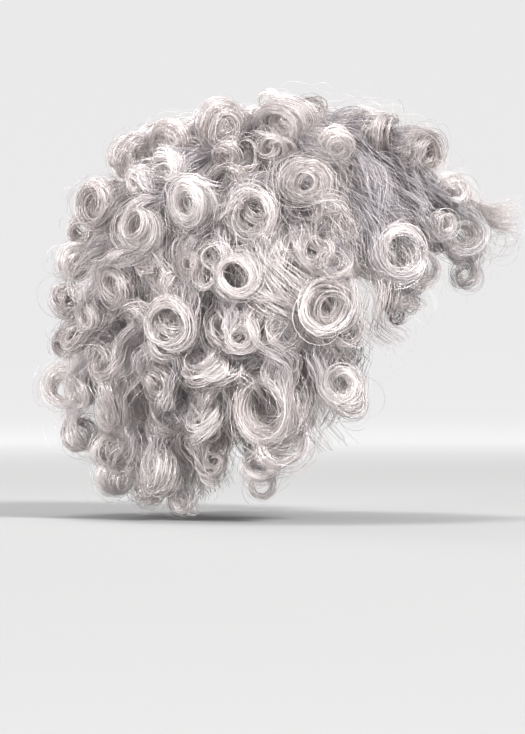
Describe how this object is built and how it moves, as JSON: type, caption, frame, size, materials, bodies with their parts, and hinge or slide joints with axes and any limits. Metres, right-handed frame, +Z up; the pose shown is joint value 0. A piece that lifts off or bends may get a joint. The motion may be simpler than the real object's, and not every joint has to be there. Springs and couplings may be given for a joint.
{
  "type": "wig",
  "caption": "Short curly silver-grey wig: stretch lace cap with sewn wefts, ear tabs, sliding nape adjusters and a thick mass of barrel curls.",
  "frame": {"origin": "centre of the head opening, on the level where the head is widest", "axes": "+Z up to the crown, -Y out through the forehead, +X to the wearer's left"},
  "size_m": [0.2283, 0.326, 0.2878],
  "materials": {
    "lace": "fine hexagonal lace net, hand-tied hair",
    "stretch_lace": "knitted stretch lace with vertical ribs",
    "weft": "machine-sewn weft heading, three thread lines",
    "velvet": "short-pile velvet tape with a stitched edge",
    "elastic": "woven ribbed elastic",
    "label": "blank woven satin label",
    "stay": "moulded nylon",
    "root_hair": "synthetic fibre, darker towards the roots",
    "silver_hair": "synthetic fibre, silver grey, soft gloss along each strand",
    "light_hair": "synthetic fibre, pale silver, soft gloss along each strand"
  },
  "bodies": {
    "cap_and_hair": {"crown_panel": "lace", "crown_binding": "velvet", "front_panel": "lace", "front_lace": "lace", "hairline_tape": "velvet", "side_panel_left": "stretch_lace", "side_panel_right": "stretch_lace", "back_panel": "stretch_lace", "nape_panel": "velvet", "nape_lining": "velvet", "edge_binding_left": "velvet", "edge_binding_right": "velvet", "elastic_ribs": "elastic", "care_label": "label", "adjuster_casing_left": "velvet", "adjuster_casing_right": "velvet", "adjuster_loops": "elastic", "weft_1": "weft", "weft_2": "weft", "weft_3": "weft", "weft_4": "weft", "weft_5": "weft", "weft_6": "weft", "weft_7": "weft", "weft_8": "weft", "under_hair_front": "root_hair", "under_hair_crown": "root_hair", "under_hair_left": "root_hair", "under_hair_right": "root_hair", "under_hair_back": "root_hair", "under_hair_nape": "root_hair", "fringe_curls": "light_hair", "fringe_tips": "light_hair", "front_rolls": "silver_hair", "crown_rolls": "silver_hair", "temple_curls_left": "light_hair", "temple_curls_right": "light_hair", "side_upper_curls_left": "silver_hair", "side_upper_curls_right": "silver_hair", "side_middle_curls_left": "silver_hair", "side_middle_curls_right": "silver_hair", "side_lower_curls_left": "silver_hair", "side_lower_curls_right": "silver_hair", "back_upper_curls": "silver_hair", "back_middle_curls": "silver_hair", "back_lower_curls": "silver_hair", "nape_curls": "silver_hair"},
    "ear_tab_left": {"ear_tab_left": "velvet", "ear_stay_left": "stay"},
    "ear_tab_right": {"ear_tab_right": "velvet", "ear_stay_right": "stay"},
    "adjuster_left": {"adjuster_strap_left": "elastic", "adjuster_hook_left": "stay"},
    "adjuster_right": {"adjuster_strap_right": "elastic", "adjuster_hook_right": "stay"}
  },
  "joints": [
    {"name": "ear_tab_left_fold", "type": "hinge", "parent": "cap_and_hair", "child": "ear_tab_left", "pos_m": [0.0768, 0, -0.0144], "axis": [0, 1, 0], "range_deg": [-20, 30]},
    {"name": "ear_tab_right_fold", "type": "hinge", "parent": "cap_and_hair", "child": "ear_tab_right", "pos_m": [-0.0768, 0, -0.0144], "axis": [0, -1, 0], "range_deg": [-20, 30]},
    {"name": "adjuster_left_slide", "type": "hinge", "parent": "cap_and_hair", "child": "adjuster_left", "pos_m": [0, 0.02914, -0.052], "axis": [0, 0, 1], "range_deg": [0, 12]},
    {"name": "adjuster_right_slide", "type": "hinge", "parent": "cap_and_hair", "child": "adjuster_right", "pos_m": [0, 0.02914, -0.052], "axis": [0, 0, -1], "range_deg": [0, 12]}
  ]
}
